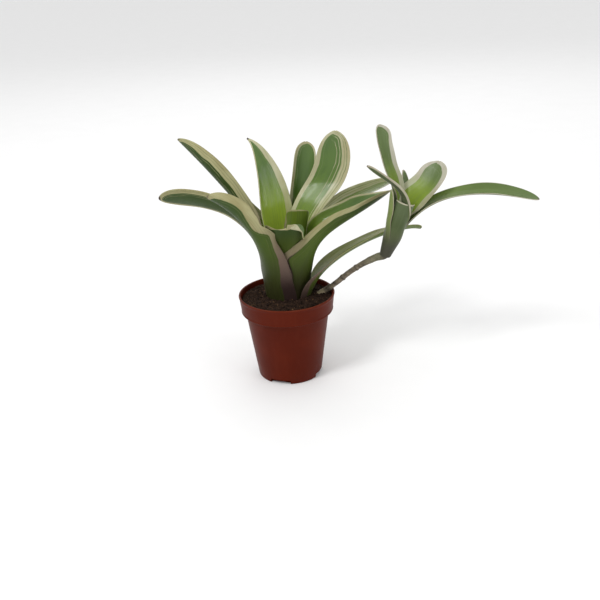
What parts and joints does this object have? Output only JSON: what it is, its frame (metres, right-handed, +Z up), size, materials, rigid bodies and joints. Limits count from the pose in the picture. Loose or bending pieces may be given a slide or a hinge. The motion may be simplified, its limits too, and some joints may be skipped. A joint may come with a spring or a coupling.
{
  "type": "potted variegated neoregelia with a pup",
  "caption": "Small bromeliad in a tapered plastic nursery pot: an open rosette of cream-edged strap leaves, and a pup that stands clear of the pot on an arching stolon.",
  "frame": {"origin": "the centre of the pot's flat foot, on the surface that it stands on", "axes": "+Z is up along the pot's axis, +X points toward the side where the pup hangs out, and -Y faces the viewer"},
  "size_m": [0.2077, 0.0734, 0.1451],
  "materials": {
    "pot": "thin moulded plastic in a terracotta brown, satin",
    "soil": "damp crumbly potting mix with tan flecks, matt",
    "stem": "grey-brown stolon with dark node rings, matt",
    "leaf": "living leaf, green with cream margins, waxy",
    "pup_leaf": "living leaf, grey-green with cream margins, waxy"
  },
  "bodies": {
    "root": {"pot": "pot", "soil": "soil", "stem_and_stolon": "stem", "leaf_heart": "leaf", "leaf_back_tall": "leaf", "leaf_back_left": "leaf", "leaf_back": "leaf", "leaf_front": "leaf", "leaf_left_high": "leaf", "leaf_right_back": "leaf", "leaf_left_low": "leaf", "leaf_right_front": "leaf", "leaf_left_front": "leaf", "leaf_right_low": "leaf", "pup_leaf_upright": "pup_leaf", "pup_leaf_right": "pup_leaf", "pup_leaf_long": "pup_leaf", "pup_leaf_left": "pup_leaf", "pup_leaf_short": "pup_leaf", "pup_leaf_back": "pup_leaf"}
  },
  "joints": []
}
